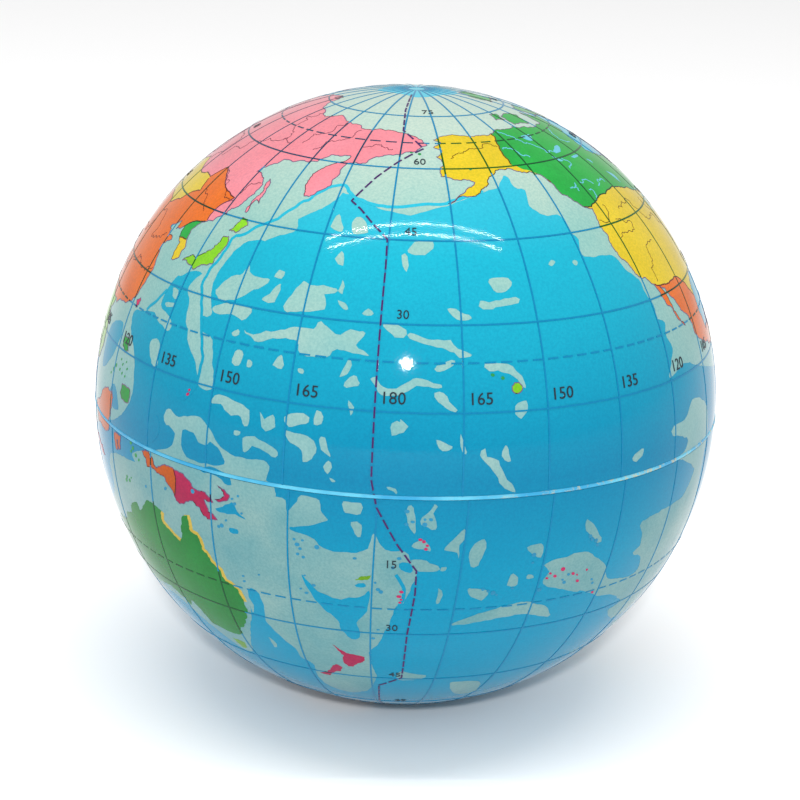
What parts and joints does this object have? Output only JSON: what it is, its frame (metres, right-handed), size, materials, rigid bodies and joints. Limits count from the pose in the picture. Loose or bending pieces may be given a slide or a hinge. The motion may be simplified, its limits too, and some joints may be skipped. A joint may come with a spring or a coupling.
{
  "type": "stress ball",
  "caption": "Soft foam squeeze ball printed as a globe, with a parting rib round its equator.",
  "frame": {"origin": "centre of the ball", "axes": "+Z through the printed north pole, -Y through meridian 180, +X through meridian 90 west; the parting rib lies in the XY plane"},
  "size_m": [0.0762, 0.0762, 0.0762],
  "materials": {
    "foam_core": "open cellular polyurethane foam, cut face matt",
    "foam_skin": "dense moulded self-skin of the same foam, satin",
    "print_blue": "sky blue printed film under clear gloss lacquer, fine orange-peel grain",
    "print_pale": "pale aqua print under clear gloss lacquer",
    "print_pink": "pink print under clear gloss lacquer",
    "print_orange": "orange print under clear gloss lacquer",
    "print_yellow": "yellow print under clear gloss lacquer",
    "print_green": "green print under clear gloss lacquer",
    "print_lime": "lime print under clear gloss lacquer",
    "print_magenta": "magenta print under clear gloss lacquer",
    "print_white": "white print under clear gloss lacquer",
    "print_line": "dark blue line print under clear gloss lacquer"
  },
  "bodies": {
    "south_half": {"foam_core": "foam_core", "parting_rib": "print_pale", "south_skin": "foam_skin", "south_film": "print_blue", "south_sea": "print_blue", "south_shelf": "print_pale", "south_pink": "print_pink", "south_orange": "print_orange", "south_yellow": "print_yellow", "south_green": "print_green", "south_lime": "print_lime", "south_magenta": "print_magenta", "south_ice": "print_white", "south_net": "print_line"},
    "north_half": {"north_skin": "foam_skin", "north_film": "print_blue", "north_sea": "print_blue", "north_shelf": "print_pale", "north_pink": "print_pink", "north_orange": "print_orange", "north_yellow": "print_yellow", "north_green": "print_green", "north_lime": "print_lime", "north_magenta": "print_magenta", "north_ice": "print_white", "north_net": "print_line"}
  },
  "joints": [
    {"name": "squeeze", "type": "slide", "parent": "south_half", "child": "north_half", "axis": [0, 0, -1], "range_m": [0, 0.0228], "stiffness_N_per_m": 2500, "deforming": ["foam_core", "parting_rib", "south_skin", "south_film", "south_sea", "south_shelf", "south_pink", "south_orange", "south_yellow", "south_green", "south_lime", "south_magenta", "south_ice", "south_net", "north_skin", "north_film", "north_sea", "north_shelf", "north_pink", "north_orange", "north_yellow", "north_green", "north_lime", "north_magenta", "north_ice", "north_net"]}
  ]
}
